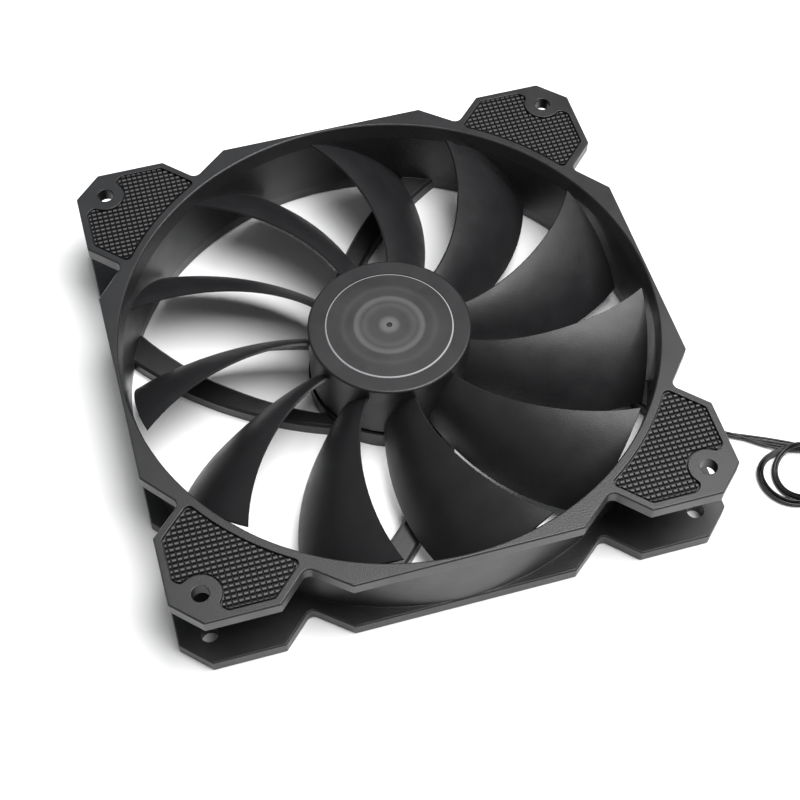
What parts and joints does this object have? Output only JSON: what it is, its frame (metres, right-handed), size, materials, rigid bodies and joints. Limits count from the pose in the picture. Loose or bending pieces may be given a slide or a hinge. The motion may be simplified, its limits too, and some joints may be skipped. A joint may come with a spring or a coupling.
{
  "type": "case fan",
  "caption": "Square-flanged axial cooling fan with a spinning impeller, rubber corner pads, curved struts and a wired plug.",
  "frame": {"origin": "on the fan's axis, in the plane of the rear (outlet) face of the frame", "axes": "+Z along the fan's axis towards its intake side, X and Y along the sides of the square frame"},
  "size_m": [0.1914, 0.14, 0.025],
  "materials": {
    "frame_plastic": "matte black, fine moulded texture",
    "impeller_plastic": "satin black",
    "badge_plastic": "satin dark grey with fine rings",
    "dark_plastic": "plain black",
    "insulator_plastic": "off-white nylon",
    "component_black": "moulded black",
    "component_tan": "ceramic tan",
    "board": "green lacquer",
    "label": "plain dark label film",
    "plug_plastic": "black nylon",
    "pad_rubber": "matte black with a pyramid grip",
    "wire": "semi-gloss black insulation",
    "brass": "turned",
    "bronze": "sintered, oiled",
    "copper_wire": "enamelled copper",
    "core_steel": "stacked laminations",
    "yoke_steel": "zinc plated",
    "shaft_steel": "ground",
    "solder": "bright",
    "terminal_metal": "tin plated",
    "magnet": "bonded ferrite"
  },
  "bodies": {
    "root": {"bearing_holder": "brass", "board_capacitor": "component_tan", "board_resistors": "component_black", "circuit_board": "board", "driver_chip": "component_black", "frame": "frame_plastic", "front_pad_1": "pad_rubber", "front_pad_2": "pad_rubber", "front_pad_3": "pad_rubber", "front_pad_4": "pad_rubber", "hall_sensor": "component_black", "inner_leads": "wire", "lead": "wire", "lead_clip": "pad_rubber", "lead_coil": "wire", "lead_tail": "wire", "lead_tie": "dark_plastic", "lower_insulator": "insulator_plastic", "oil_seal": "dark_plastic", "plug_housing": "plug_plastic", "plug_terminals": "terminal_metal", "rear_label": "label", "rear_pad_1": "pad_rubber", "rear_pad_2": "pad_rubber", "rear_pad_3": "pad_rubber", "rear_pad_4": "pad_rubber", "retaining_washer": "dark_plastic", "sleeve_bearing": "bronze", "solder_joints": "solder", "stator_core": "core_steel", "thrust_plate": "dark_plastic", "upper_insulator": "insulator_plastic", "winding_1": "copper_wire", "winding_2": "copper_wire", "winding_3": "copper_wire", "winding_4": "copper_wire"},
    "rotor": {"impeller": "impeller_plastic", "hub_badge": "badge_plastic", "rotor_yoke": "yoke_steel", "ring_magnet": "magnet", "shaft_bush": "brass", "shaft": "shaft_steel"}
  },
  "joints": [
    {"name": "impeller_spin", "type": "hinge", "parent": "root", "child": "rotor", "pos_m": [0, 0, 0.014], "axis": [0, 0, 1], "continuous": true}
  ]
}
